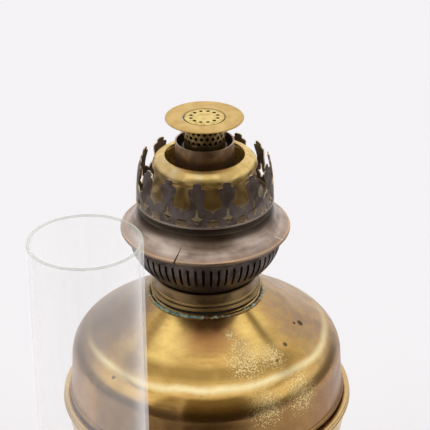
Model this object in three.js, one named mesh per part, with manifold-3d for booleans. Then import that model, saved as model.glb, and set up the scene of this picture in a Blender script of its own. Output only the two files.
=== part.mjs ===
// A brass table oil lamp: a round-wick burner with a flame disc, a drop-in font, a pedestal holder
// and a glass chimney standing beside it. Millimetres, +Z up, origin on the table under the lamp's axis.
// +Y is the back of the lamp, where the wick knob is.
import * as THREE from "three";
import { mergeVertices } from "three/addons/utils/BufferGeometryUtils.js";
import Module from "manifold-3d";

const wasm = await Module();
wasm.setup();

// ---------------------------------------------------------------- driving dimensions
const SHEET = 0.8; // thickness of the spun and stamped sheet brass
const GAP = 0.3; // gap kept between pieces that touch
const FULL_TURN = 2 * Math.PI;

const FOOT_R = 70;
const FOOT_TOP_Z = 27;
const STEM_TOP_Z = 55.5;
const HOLDER_RIM_R = 78;
const HOLDER_RIM_Z = 112;

const FONT_WALL_R = 72.1;
const FONT_SHOULDER_R = 16.5; // radius of the rounding between the cone and the wall
const FONT_CONE_TOP_R = 31;
const FONT_CONE_TOP_Z = 171.6;
const FONT_CONE_SLOPE = 0.652; // drop per millimetre outwards
const FONT_BEAD_Z = 115.8;
const TANK_R = 71;
const TANK_FLOOR_Z = 61;

const NECK_R = 25.2; // bore of the font's collar
const COLLAR_TOP_Z = 173.1;
const BURNER_LIP_R = 29.1;
const BURNER_FACE_R = 27.1;
const BURNER_COLLAR_TOP_Z = 184.5;
const THREAD_R = 24.9;

const BASKET_FLOOR_Z = 185;
const BASKET_SLOTS = 48;
const BASKET_R = 39.6;
const BASKET_TOP_Z = 212.6;

const TUBE_R = 15.1; // outside of the outer wick tube
const TUBE_TOP_Z = 259.4;
const TUBE_FOOT_Z = 176;
const INNER_TUBE_R = 11.4;
const INNER_TUBE_TOP_Z = 256.5;
const INNER_TUBE_FOOT_Z = 190;
const WICK_R = [11.7, 14.0];
const WICK_TOP_Z = 255.5;
const WICK_TAIL_Z = 80; // lower end of the tails, clear of the floor of the tank at the lowest setting

const SHAFT_X = -18.4;
const SHAFT_Z = 192;
const SHAFT_R = 1.5;
const WHEEL_R = 4.4;
const WHEEL_Y = 4;
const KNOB_Y = 51;
const KNOB_R = 10;

const SEAT_Z = 227; // ledge that the chimney's foot stands on
const PLATE_BORE_R = 21.2; // opening for the air in the plate under the chimney's seat
const BEAD_R = 35.4;
const FLANGE_R = 44;
const FLANGE_RIM_Z = 211.05;
const RIM_BEAD_R = 1.1;
const PRONGS = 14;
const PRONG_OFFSET = -6.5; // degrees from the front, towards +X
const CROWN_TOP_Z = 251;
const DOME_MOUTH_R = 20.5;
const DOME_TOP_Z = 251.8;
const SCREEN_R = 22.4;

const DISC_R = 20;
const DISC_Z = 272.2; // top of the flame disc
const THIMBLE_R = 10.35;
const THIMBLE_HOLES = 11; // in a row

const CHIMNEY_X = -53.2;
const CHIMNEY_Y = -108;
const CHIMNEY_HEIGHT = 260;
const CHIMNEY_FOOT_R = 33;
const CHIMNEY_BULGE_R = 38.2;
const CHIMNEY_TUBE_R = 26.3;
const GLASS = 1.8;

// ---------------------------------------------------------------- materials
const finish = (color, roughness, metalness = 1) =>
  new THREE.MeshStandardMaterial({ color, roughness, metalness });
const BRASS = finish(0xc19a4c, 0.3);
const PALE_BRASS = finish(0xd0b36a, 0.4);
const AGED_BRASS = finish(0x8c6f3a, 0.4);
const DARK_BRONZE = finish(0x4a403a, 0.5);
const BROWN_BRONZE = finish(0x7a675c, 0.42);
const STEEL = finish(0x8a8a8a, 0.4);
const IRON = finish(0x3c3c3e, 0.8);
const COTTON = finish(0xd8cfb8, 0.95, 0);
const FELT = finish(0x2f4a35, 1, 0);
const CORK = finish(0x6b4a2c, 0.9, 0);
const CLEAR_GLASS = new THREE.MeshStandardMaterial({
  color: 0xf2f6f4,
  roughness: 0.05,
  metalness: 0,
  transparent: true,
  opacity: 0.3,
});

// ---------------------------------------------------------------- solid helpers
function toSolid(geometry) {
  const bare = geometry.clone();
  bare.deleteAttribute("normal");
  bare.deleteAttribute("uv");
  const merged = mergeVertices(bare, 1e-4);
  return new wasm.Manifold(
    new wasm.Mesh({
      numProp: 3,
      vertProperties: merged.attributes.position.array,
      triVerts: new Uint32Array(merged.index.array),
    }),
  );
}

function toGeometry(solid) {
  const mesh = solid.getMesh();
  return new THREE.BufferGeometry()
    .setAttribute(
      "position",
      new THREE.BufferAttribute(new Float32Array(mesh.vertProperties), 3),
    )
    .setIndex(new THREE.BufferAttribute(new Uint32Array(mesh.triVerts), 1));
}

const cut = (geometry, cutters) =>
  toGeometry(
    cutters.reduce(
      (solid, cutter) => solid.subtract(toSolid(cutter)),
      toSolid(geometry),
    ),
  );
const join = (...geometries) =>
  toGeometry(geometries.map(toSolid).reduce((a, b) => a.add(b)));

// Turns a profile of [radius, height] points round the Z axis. A profile that doesn't start and end
// on the axis is closed on itself. Either direction of the profile gives faces that point out.
function lathe(profile, segments = 30) {
  const points = profile.map(([r, z]) => new THREE.Vector2(r, z));
  const touchesAxis = profile[0][0] === 0;
  if (!touchesAxis) points.push(points[0].clone());
  if (THREE.ShapeUtils.area(points) > 0) points.reverse();
  points.reverse();
  return new THREE.LatheGeometry(points, segments).rotateX(Math.PI / 2);
}

const ring = (inner, outer, low, high, segments) =>
  lathe(
    [
      [inner, low],
      [outer, low],
      [outer, high],
      [inner, high],
    ],
    segments,
  );
const disc = (radius, low, high, segments) =>
  lathe(
    [
      [0, low],
      [radius, low],
      [radius, high],
      [0, high],
    ],
    segments,
  );

// Points of an arc in the [radius, height] plane, angles in degrees from outwards towards up.
function arc(r, z, radius, from, to, steps) {
  return Array.from({ length: steps + 1 }, (_, i) => {
    const a = THREE.MathUtils.degToRad(from + ((to - from) * i) / steps);
    return [r + radius * Math.cos(a), z + radius * Math.sin(a)];
  });
}

// A smooth curve through a few [radius, height] points.
function smooth(points, steps) {
  const curve = new THREE.SplineCurve(
    points.map(([r, z]) => new THREE.Vector2(r, z)),
  );
  return curve.getPoints(steps).map((p) => [p.x, p.y]);
}

// A sheet of even thickness whose outside follows the profile, listed upwards on the outside.
function sheetProfile(outside, thickness = SHEET) {
  const inside = outside.map(([r, z], i) => {
    const [r0, z0] = outside[Math.max(i - 1, 0)];
    const [r1, z1] = outside[Math.min(i + 1, outside.length - 1)];
    const length = Math.hypot(r1 - r0, z1 - z0);
    return [
      r - (thickness * (z1 - z0)) / length,
      z + (thickness * (r1 - r0)) / length,
    ];
  });
  return [...outside, ...inside.reverse()];
}

const turned = (geometry, angle) => geometry.clone().rotateZ(angle);
const aroundAxis = (geometry, count, offset = 0) =>
  Array.from({ length: count }, (_, i) =>
    turned(geometry, offset + (i * FULL_TURN) / count),
  );
const box = (x0, x1, y0, y1, z0, z1) =>
  new THREE.BoxGeometry(x1 - x0, y1 - y0, z1 - z0).translate(
    (x0 + x1) / 2,
    (y0 + y1) / 2,
    (z0 + z1) / 2,
  );

// A closed outline from its right half, listed upwards.
const mirrored = (half) => [
  ...half,
  ...half
    .filter(([across]) => across > 0)
    .reverse()
    .map(([across, z]) => [-across, z]),
];

// Round holes through a cylindrical wall, in rows, each row turned by half a pitch from the last.
function holeRows(rows, firstZ, pitchZ, perRow, holeR, innerR, outerR) {
  return Array.from({ length: rows }, (_, row) => {
    const hole = new THREE.CylinderGeometry(
      holeR,
      holeR,
      outerR - innerR,
      4,
    ).translate(0, -(innerR + outerR) / 2, firstZ - row * pitchZ);
    const stagger = ((row % 2) * Math.PI) / perRow;
    return aroundAxis(hole, perRow, stagger + Math.PI / (2 * perRow));
  }).flat();
}

// ---------------------------------------------------------------- base
function footShell() {
  const flare = smooth(
    [
      [66, 6.5],
      [61, 9.5],
      [46, 17.5],
      [30, 23.5],
      [19, 26],
    ],
    5,
  );
  const outside = [
    [FOOT_R - 0.8, 1.8],
    [FOOT_R, 2.6],
    [FOOT_R - 0.6, 4.4],
    ...flare,
    [3.6, FOOT_TOP_Z - 0.6],
  ];
  return lathe(sheetProfile(outside, 1), 28);
}

function footBallast() {
  return lathe(
    [
      [8, 2.6],
      [44, 2.6],
      [44, 9],
      [24, 20],
      [3.6, 20],
      [3.6, 6.5],
      [8, 6.5],
    ],
    24,
  );
}

function stem() {
  const baluster = smooth(
    [
      [23, STEM_TOP_Z - 2],
      [13, 50.5],
      [9.5, 44],
      [15.5, 38.5],
      [16, 35.5],
      [11.5, 32],
      [19, 28.6],
    ],
    11,
  );
  return lathe(
    [
      [3.5, STEM_TOP_Z],
      [23.6, STEM_TOP_Z],
      ...baluster,
      [19, FOOT_TOP_Z + GAP],
      [3.5, FOOT_TOP_Z + GAP],
    ],
    20,
  );
}

const tieRod = () => disc(3, 3.2, 60.4, 12);
const hexNut = (low, high) => ring(3.9, 6, low, high, 6);

function holderBowl() {
  const bowl = smooth(
    [
      [24, STEM_TOP_Z + 0.8],
      [40, 60.5],
      [55, 67.5],
      [67, 78],
      [73.6, 91],
      [75.4, 108],
    ],
    6,
  );
  const outside = [
    [3.6, STEM_TOP_Z + GAP],
    ...bowl,
    ...arc(HOLDER_RIM_R - 1.8, HOLDER_RIM_Z, 1.8, -60, 90, 3),
    [73.2, HOLDER_RIM_Z + 1.8],
  ];
  const inside = [
    [73.2, HOLDER_RIM_Z - 1],
    ...bowl.map(([r, z]) => [r - 0.9, z + 0.9]).reverse(),
    [3.6, STEM_TOP_Z + 1.6],
  ];
  return lathe([...outside, ...inside]);
}

// ---------------------------------------------------------------- font
function fontShoulder() {
  const coneAngle = THREE.MathUtils.radToDeg(Math.atan(FONT_CONE_SLOPE));
  const arcR = FONT_WALL_R - FONT_SHOULDER_R;
  const arcStart = THREE.MathUtils.degToRad(90 - coneAngle);
  const coneEndR = arcR + FONT_SHOULDER_R * Math.cos(arcStart);
  const coneEndZ =
    FONT_CONE_TOP_Z - FONT_CONE_SLOPE * (coneEndR - FONT_CONE_TOP_R);
  const arcZ = coneEndZ - FONT_SHOULDER_R * Math.sin(arcStart);
  const outside = [
    ...arc(FONT_WALL_R + 0.9, FONT_BEAD_Z, 1.4, -90, 60, 3),
    [FONT_WALL_R + 1.2, FONT_BEAD_Z + 2.2],
    ...arc(arcR, arcZ, FONT_SHOULDER_R, 0, 90 - coneAngle, 4),
    [FONT_CONE_TOP_R - 3.6, FONT_CONE_TOP_Z - GAP - 0.8],
  ];
  return lathe(sheetProfile(outside));
}

function fontTank() {
  const bowl = smooth(
    [
      [30, TANK_FLOOR_Z + 0.8],
      [50, 67.5],
      [63, 77.5],
      [69.6, 90],
      [TANK_R, 103],
    ],
    5,
  );
  const outside = [[0, TANK_FLOOR_Z], ...bowl, [TANK_R, 127]];
  const inside = [
    [TANK_R - SHEET, 127],
    ...bowl.map(([r, z]) => [r - SHEET * 0.8, z + SHEET * 0.8]).reverse(),
    [0, TANK_FLOOR_Z + SHEET],
  ];
  return lathe([...outside, ...inside]);
}

function fontCollar() {
  return lathe(
    [
      [NECK_R, 164],
      [NECK_R + 1.3, 164],
      [NECK_R + 1.3, 171.9],
      [FONT_CONE_TOP_R - 1, 171.9],
      [FONT_CONE_TOP_R, 172.4],
      [FONT_CONE_TOP_R - 0.4, 173.6],
      [FONT_CONE_TOP_R - 1.4, 173.6],
      [FONT_CONE_TOP_R - 2.2, COLLAR_TOP_Z],
      [NECK_R, COLLAR_TOP_Z],
    ],
    28,
  );
}

// ---------------------------------------------------------------- burner
const gasket = () =>
  ring(NECK_R + 0.1, BURNER_LIP_R - 1.1, COLLAR_TOP_Z + 0.3, 174.7, 28);

function burnerCollar() {
  return lathe(
    [
      [THREAD_R - 0.9, 166.5],
      [THREAD_R, 166.5],
      [THREAD_R, 175],
      [BURNER_LIP_R - 0.5, 175],
      [BURNER_LIP_R, 175.8],
      [BURNER_LIP_R - 0.3, 176.8],
      [BURNER_FACE_R + 0.4, 178],
      [BURNER_FACE_R, 179],
      [BURNER_FACE_R, 184],
      [BURNER_FACE_R - 0.5, BURNER_COLLAR_TOP_Z],
      [THREAD_R - 0.9, BURNER_COLLAR_TOP_Z],
    ],
    28,
  );
}

const bushingHole = () =>
  new THREE.CylinderGeometry(3.45, 3.45, 20, 12).translate(SHAFT_X, 30, SHAFT_Z);

// The slotted cup that lets air in under the gallery. Slots near the shaft's bushing are left out.
function airBasket() {
  const outside = [
    [NECK_R, BASKET_FLOOR_Z],
    [26.6, BASKET_FLOOR_Z],
    [27.3, BASKET_FLOOR_Z + 0.8],
    [32.2, 190.2],
    [36, 194.4],
    [BASKET_R, 207],
    [BASKET_R, BASKET_TOP_Z],
  ];
  const shell = lathe(sheetProfile(outside), BASKET_SLOTS / 2);
  const slot = box(-0.9, 0.9, -43, -30, 195.4, 206.2);
  const bushingAngle = Math.PI - Math.atan2(SHAFT_X, 28);
  const clearOfBushing = (_, i) => {
    const angle = ((i + 0.5) * FULL_TURN) / BASKET_SLOTS;
    const away = Math.abs(angle - bushingAngle);
    return Math.min(away, FULL_TURN - away) > 0.17;
  };
  const slots = aroundAxis(
    slot,
    BASKET_SLOTS,
    (0.5 * FULL_TURN) / BASKET_SLOTS,
  ).filter(clearOfBushing);
  return cut(shell, [...slots, bushingHole()]);
}

const burnerFloor = () => ring(TUBE_R + 0.5, 25.9, 186.1, 186.9, 24);

const ductHalfWidth = 4.2;
const ductZ = [194, 204];

function outerWickTube() {
  const wheelSlot = (y) =>
    box(-18, -12, y - 1.3, y + 1.3, SHAFT_Z - 5.2, SHAFT_Z + 5.2);
  const window = box(
    -ductHalfWidth - GAP,
    ductHalfWidth + GAP,
    -20,
    -5,
    ductZ[0] - GAP,
    ductZ[1] + GAP,
  );
  return cut(ring(TUBE_R - SHEET, TUBE_R, TUBE_FOOT_Z, TUBE_TOP_Z, 32), [
    wheelSlot(-WHEEL_Y),
    wheelSlot(WHEEL_Y),
    window,
  ]);
}

function innerAirTube() {
  const tube = ring(
    INNER_TUBE_R - 0.7,
    INNER_TUBE_R,
    INNER_TUBE_FOOT_Z,
    INNER_TUBE_TOP_Z,
    32,
  );
  const window = box(
    -ductHalfWidth - GAP,
    ductHalfWidth + GAP,
    -20,
    -5,
    ductZ[0] - GAP,
    ductZ[1] + GAP,
  );
  return cut(tube, [window]);
}

// The duct through the gap in the wick, from the basket into the inner air tube.
function draughtDuct() {
  const [low, high] = ductZ;
  const outer = box(-ductHalfWidth, ductHalfWidth, -TUBE_R - 0.6, -9.6, low, high);
  const inner = box(
    -ductHalfWidth + SHEET,
    ductHalfWidth - SHEET,
    -20,
    -5,
    low + SHEET,
    high - SHEET,
  );
  return cut(outer, [inner]);
}

const innerTubePlug = () => disc(INNER_TUBE_R - 1, 188.6, 191.2, 24);

const shaftBushing = () =>
  ring(SHAFT_R + GAP, 3, -4.5, 4.5, 14)
    .rotateX(-Math.PI / 2)
    .translate(SHAFT_X, 29.5, SHAFT_Z);

function shaftBracket() {
  const plate = box(SHAFT_X - 3.2, SHAFT_X + 3, -9.8, -8.6, 187.2, 195.2);
  const foot = box(SHAFT_X - 3.2, SHAFT_X + 3, -12.6, -9, 187.2, 188.2);
  const bore = new THREE.CylinderGeometry(
    SHAFT_R + GAP,
    SHAFT_R + GAP,
    12,
    12,
  ).translate(SHAFT_X, -9, SHAFT_Z);
  return cut(join(plate, foot), [bore]);
}

// ---------------------------------------------------------------- wick drive
const wickShaft = () =>
  disc(SHAFT_R, -11, KNOB_Y + 5.1, 12)
    .rotateX(-Math.PI / 2)
    .translate(SHAFT_X, 0, SHAFT_Z);

function spurWheel(y) {
  const teeth = 12;
  const shape = new THREE.Shape(
    Array.from({ length: 2 * teeth }, (_, i) => {
      const a = (i * FULL_TURN) / (2 * teeth);
      const r = i % 2 ? WHEEL_R - 1.1 : WHEEL_R;
      return new THREE.Vector2(r * Math.cos(a), r * Math.sin(a));
    }),
  );
  shape.holes.push(new THREE.Path().absarc(0, 0, SHAFT_R + GAP, 0, FULL_TURN));
  return new THREE.ExtrudeGeometry(shape, {
    depth: 1.6,
    bevelEnabled: false,
    curveSegments: 10,
  })
    .rotateX(Math.PI / 2)
    .translate(SHAFT_X, y + 0.8, SHAFT_Z);
}

// A fluted knob with a hub towards the burner, and a blind bore for the shaft.
function wickKnob() {
  const flutes = 16;
  const rim = new THREE.Shape(
    Array.from({ length: 2 * flutes }, (_, i) => {
      const a = (i * FULL_TURN) / (2 * flutes);
      const r = i % 2 ? KNOB_R - 0.9 : KNOB_R;
      return new THREE.Vector2(r * Math.cos(a), r * Math.sin(a));
    }),
  );
  const wheel = new THREE.ExtrudeGeometry(rim, {
    depth: 4,
    bevelEnabled: false,
  }).translate(0, 0, 2.6);
  const hub = disc(3.4, 0, 3, 16);
  const bore = disc(SHAFT_R + 0.4, -1, 5.4, 12);
  const screwBore = disc(1.2, 5, 8, 10);
  return cut(join(wheel, hub), [bore, screwBore])
    .rotateX(-Math.PI / 2)
    .translate(SHAFT_X, KNOB_Y, SHAFT_Z);
}

const knobScrew = () =>
  lathe(
    [
      [0, 5.6],
      [0.8, 5.6],
      [0.8, 6.9],
      [2.3, 6.9],
      [2.1, 7.6],
      [0, 8.1],
    ],
    14,
  )
    .rotateX(-Math.PI / 2)
    .translate(SHAFT_X, KNOB_Y, SHAFT_Z);

// ---------------------------------------------------------------- wick
// A flat cotton wick curled round the inner tube, open at the front for the duct, with two tails.
// The opening is tall enough for the wick's whole travel up and down.
function wick() {
  const [inner, outer] = WICK_R;
  const sleeve = ring(inner, outer, 160, WICK_TOP_Z, 32);
  const slit = box(-5.2, 5.2, -20, -5, 150, 214);
  const tail = (side) =>
    box(
      Math.min(side * 11.9, side * 13.8),
      Math.max(side * 11.9, side * 13.8),
      -12,
      12,
      WICK_TAIL_Z,
      165,
    );
  return join(cut(sleeve, [slit]), tail(1), tail(-1));
}

// ---------------------------------------------------------------- gallery
// The plate under the chimney's seat, with a hollow skirt that ends in a round rim.
function galleryFlange() {
  const skirt = smooth(
    [
      [34.9, 223.2],
      [36.2, 219.3],
      [39.4, 214.8],
      [42.9, 212.3],
    ],
    5,
  );
  const rim = arc(FLANGE_R - RIM_BEAD_R, FLANGE_RIM_Z, RIM_BEAD_R, 50, -110, 3);
  const underside = skirt.map(([r, z]) => [r - 0.7, z - 0.8]).reverse();
  return lathe(
    [
      [PLATE_BORE_R, SEAT_Z],
      ...arc(BEAD_R - 1, SEAT_Z - 1, 1, 90, -60, 2),
      ...skirt,
      ...rim,
      ...underside,
      [33.8, SEAT_Z - 1],
      [PLATE_BORE_R, SEAT_Z - 1],
    ],
    32,
  );
}

// A stamped sheet rolled into a ring of like units. The outline and the hole are lists of [across,
// height] points in one unit, the outline anticlockwise and the hole clockwise, and the two edges of
// a unit meet its neighbours. outerR gives the outside radius at a height.
function rolledBand(outline, hole, width, count, thickness, outerR, turn) {
  const onEdge = ([x]) => x === 0 || x === width;
  const walls = [];
  for (const loop of [outline, hole])
    loop.forEach((a, i) => {
      const b = loop[(i + 1) % loop.length];
      if (!(onEdge(a) && onEdge(b) && a[0] === b[0])) walls.push([a, b]);
    });
  const vectors = (loop) => loop.map(([x, z]) => new THREE.Vector2(x, z));
  const points = [...outline, ...hole];
  const faces = THREE.ShapeUtils.triangulateShape(vectors(outline), [
    vectors(hole),
  ]);
  const positions = [];
  for (let unit = 0; unit < count; unit++) {
    const place = ([x, z], inset) => {
      const angle = turn + ((unit + x / width) * FULL_TURN) / count;
      const r = outerR(z) - inset;
      return [r * Math.cos(angle), r * Math.sin(angle), z];
    };
    const outer = (p) => place(p, 0);
    const inner = (p) => place(p, thickness);
    for (const [a, b, c] of faces.map((face) => face.map((i) => points[i]))) {
      positions.push(...outer(a), ...outer(b), ...outer(c));
      positions.push(...inner(a), ...inner(c), ...inner(b));
    }
    for (const [a, b] of walls) {
      positions.push(...outer(a), ...inner(a), ...inner(b));
      positions.push(...outer(a), ...inner(b), ...outer(b));
    }
  }
  return new THREE.BufferGeometry().setAttribute(
    "position",
    new THREE.Float32BufferAttribute(positions, 3),
  );
}

// The chimney holder: under each trefoil-headed prong a slit opens into a small crown, and under
// each gap between two prongs there is an arch.
function galleryCrown() {
  const low = SEAT_Z + GAP;
  const width = (FULL_TURN * 34.6) / PRONGS;
  // The right half of a gap between two prongs, from the ring's lower edge up the prong's side.
  const side = [
    [0, low],
    [0, 228.6],
    [1.2, 228.3],
    [3.3, 228.8],
    [2.3, 231.7],
    [0, 232.4],
    [0, 236],
    [2.6, 238],
    [4.3, 240],
    [4.6, 243.6],
    [3.3, 246],
    [4.2, 248.2],
    [width / 2 - 2, 248.6],
    [width / 2 - 0.8, CROWN_TOP_Z],
  ];
  const outline = [
    ...[...side].reverse(),
    [width / 2, low],
    ...side.map(([x, z]) => [width - x, z]),
  ];
  const crownlet = [
    [0, 230.2],
    [1.4, 232],
    [2.9, 233.8],
    [0.8, 235.2],
    [0.7, 239],
    [0, 239.4],
  ];
  const hole = mirrored(crownlet)
    .map(([x, z]) => [width / 2 + x, z])
    .reverse();
  const lean = (z) => (1.8 * (z - low)) / (CROWN_TOP_Z - low);
  const turn = THREE.MathUtils.degToRad(-90 + PRONG_OFFSET) - Math.PI / PRONGS;
  return rolledBand(outline, hole, width, PRONGS, 0.6, (z) => 35.2 - lean(z), turn);
}

function deflectorDome() {
  const outside = [
    [28.1, SEAT_Z + GAP + 0.1],
    [26.4, 240],
    [25.9, 244.4],
    [26.9, 245.4],
    [26.4, 248],
    [24, 250.6],
    [DOME_MOUTH_R, DOME_TOP_Z],
  ];
  return lathe(sheetProfile(outside, 0.7));
}

function deflectorScreen() {
  const sleeve = ring(SCREEN_R - 0.5, SCREEN_R, SEAT_Z + GAP, 248, 32);
  return cut(sleeve, holeRows(2, 244, 4, 16, 1.3, SCREEN_R - 3, SCREEN_R + 3));
}

// ---------------------------------------------------------------- flame spreader
function flameDisc() {
  return lathe(
    [
      [THIMBLE_R + GAP, DISC_Z - 1.4],
      [THIMBLE_R + 1.4, DISC_Z - 0.8],
      [DISC_R - 0.3, DISC_Z - 0.8],
      [DISC_R, DISC_Z - 0.4],
      [DISC_R - 0.2, DISC_Z],
      [THIMBLE_R + GAP, DISC_Z],
    ],
    36,
  );
}

function spreaderCap() {
  const plate = lathe(
    [
      [0, DISC_Z - 1],
      [10.2, DISC_Z - 1],
      [10.2, DISC_Z - 0.3],
      [9.5, DISC_Z],
      [0, DISC_Z],
    ],
    24,
  );
  const hole = new THREE.CylinderGeometry(0.8, 0.8, 6, 5)
    .rotateX(Math.PI / 2)
    .translate(0, -6.95, DISC_Z);
  return cut(plate, aroundAxis(hole, 12, Math.PI / 12));
}

function spreaderThimble() {
  const wall = ring(
    THIMBLE_R - 0.4,
    THIMBLE_R,
    248,
    DISC_Z - 1.3,
    2 * THIMBLE_HOLES,
  );
  return cut(
    wall,
    holeRows(2, 267.6, 4, THIMBLE_HOLES, 1, THIMBLE_R - 2, THIMBLE_R + 2),
  );
}

// ---------------------------------------------------------------- chimney
function chimney() {
  const outside = [
    [CHIMNEY_FOOT_R, 0],
    [CHIMNEY_FOOT_R, 24],
    ...smooth(
      [
        [CHIMNEY_FOOT_R + 1.2, 29],
        [CHIMNEY_BULGE_R, 45],
        [34.5, 60],
        [28.2, 72],
        [CHIMNEY_TUBE_R, 84],
      ],
      7,
    ),
    [CHIMNEY_TUBE_R, CHIMNEY_HEIGHT],
  ];
  const inside = outside.map(([r, z]) => [r - GLASS, z]).reverse();
  return lathe([...outside, ...inside], 28).translate(
    CHIMNEY_X,
    CHIMNEY_Y,
    0,
  );
}

// ---------------------------------------------------------------- assembly
const lamp = new THREE.Group();
function add(name, geometry, material) {
  const mesh = new THREE.Mesh(geometry, material);
  mesh.name = name;
  lamp.add(mesh);
}

add("felt_pad", disc(66, 0, 1.4, 36), FELT);
add("foot_shell", footShell(), AGED_BRASS);
add("foot_ballast", footBallast(), IRON);
add("stem", stem(), BRASS);
add("tie_rod", tieRod(), STEEL);
add("tie_rod_nut_top", hexNut(57.5, 60.2), STEEL);
add("tie_rod_nut_bottom", hexNut(3.4, 6.2), STEEL);
add("holder_bowl", holderBowl(), AGED_BRASS);

add("font_tank", fontTank(), AGED_BRASS);
add("font_shoulder", fontShoulder(), BRASS);
add("font_collar", fontCollar(), AGED_BRASS);
add("burner_gasket", gasket(), CORK);

add("burner_collar", burnerCollar(), AGED_BRASS);
add("air_basket", airBasket(), DARK_BRONZE);
add("burner_floor", burnerFloor(), DARK_BRONZE);
add("outer_wick_tube", outerWickTube(), DARK_BRONZE);
add("inner_air_tube", innerAirTube(), DARK_BRONZE);
add("inner_tube_plug", innerTubePlug(), DARK_BRONZE);
add("draught_duct", draughtDuct(), DARK_BRONZE);
add("shaft_bushing", shaftBushing(), AGED_BRASS);
add("shaft_bracket", shaftBracket(), AGED_BRASS);

add("wick_shaft", wickShaft(), STEEL);
add("spur_wheel_front", spurWheel(-WHEEL_Y), STEEL);
add("spur_wheel_rear", spurWheel(WHEEL_Y), STEEL);
add("wick_knob", wickKnob(), AGED_BRASS);
add("knob_screw", knobScrew(), STEEL);
add("wick", wick(), COTTON);

add("gallery_flange", galleryFlange(), BROWN_BRONZE);
add("gallery_crown", galleryCrown(), DARK_BRONZE);
add("deflector_dome", deflectorDome(), BRASS);
add("deflector_screen", deflectorScreen(), AGED_BRASS);

add("flame_disc", flameDisc(), PALE_BRASS);
add("spreader_cap", spreaderCap(), PALE_BRASS);
add("spreader_thimble", spreaderThimble(), AGED_BRASS);

add("chimney", chimney(), CLEAR_GLASS);

export default lamp;
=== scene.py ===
"""The looks of a brass oil lamp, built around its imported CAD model. Lengths are millimetres in the part's
own frame unless a comment says otherwise: +Z up, the lamp's axis at x = y = 0, +Y the lamp's back."""

import math

import bmesh
import bpy
import numpy as np
from mathutils import Matrix, Vector
from mathutils.geometry import delaunay_2d_cdt


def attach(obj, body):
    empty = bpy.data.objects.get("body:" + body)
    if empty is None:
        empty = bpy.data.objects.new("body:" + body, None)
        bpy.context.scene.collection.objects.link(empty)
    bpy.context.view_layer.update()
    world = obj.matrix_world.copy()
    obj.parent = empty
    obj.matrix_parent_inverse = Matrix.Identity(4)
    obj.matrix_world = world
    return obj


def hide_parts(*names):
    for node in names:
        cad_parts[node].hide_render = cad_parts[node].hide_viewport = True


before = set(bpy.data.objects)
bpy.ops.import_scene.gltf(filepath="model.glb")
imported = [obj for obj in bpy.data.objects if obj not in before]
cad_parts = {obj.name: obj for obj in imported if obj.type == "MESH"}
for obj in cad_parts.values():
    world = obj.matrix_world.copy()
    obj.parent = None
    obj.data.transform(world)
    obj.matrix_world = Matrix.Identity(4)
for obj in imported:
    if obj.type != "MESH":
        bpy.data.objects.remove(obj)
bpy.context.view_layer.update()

MM = 0.001
TURN = 2 * math.pi
SEGMENTS = 160
SHARP_ANGLE = math.radians(40)
WELD = 2e-6  # metres
FILLET_STEPS = 5


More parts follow.
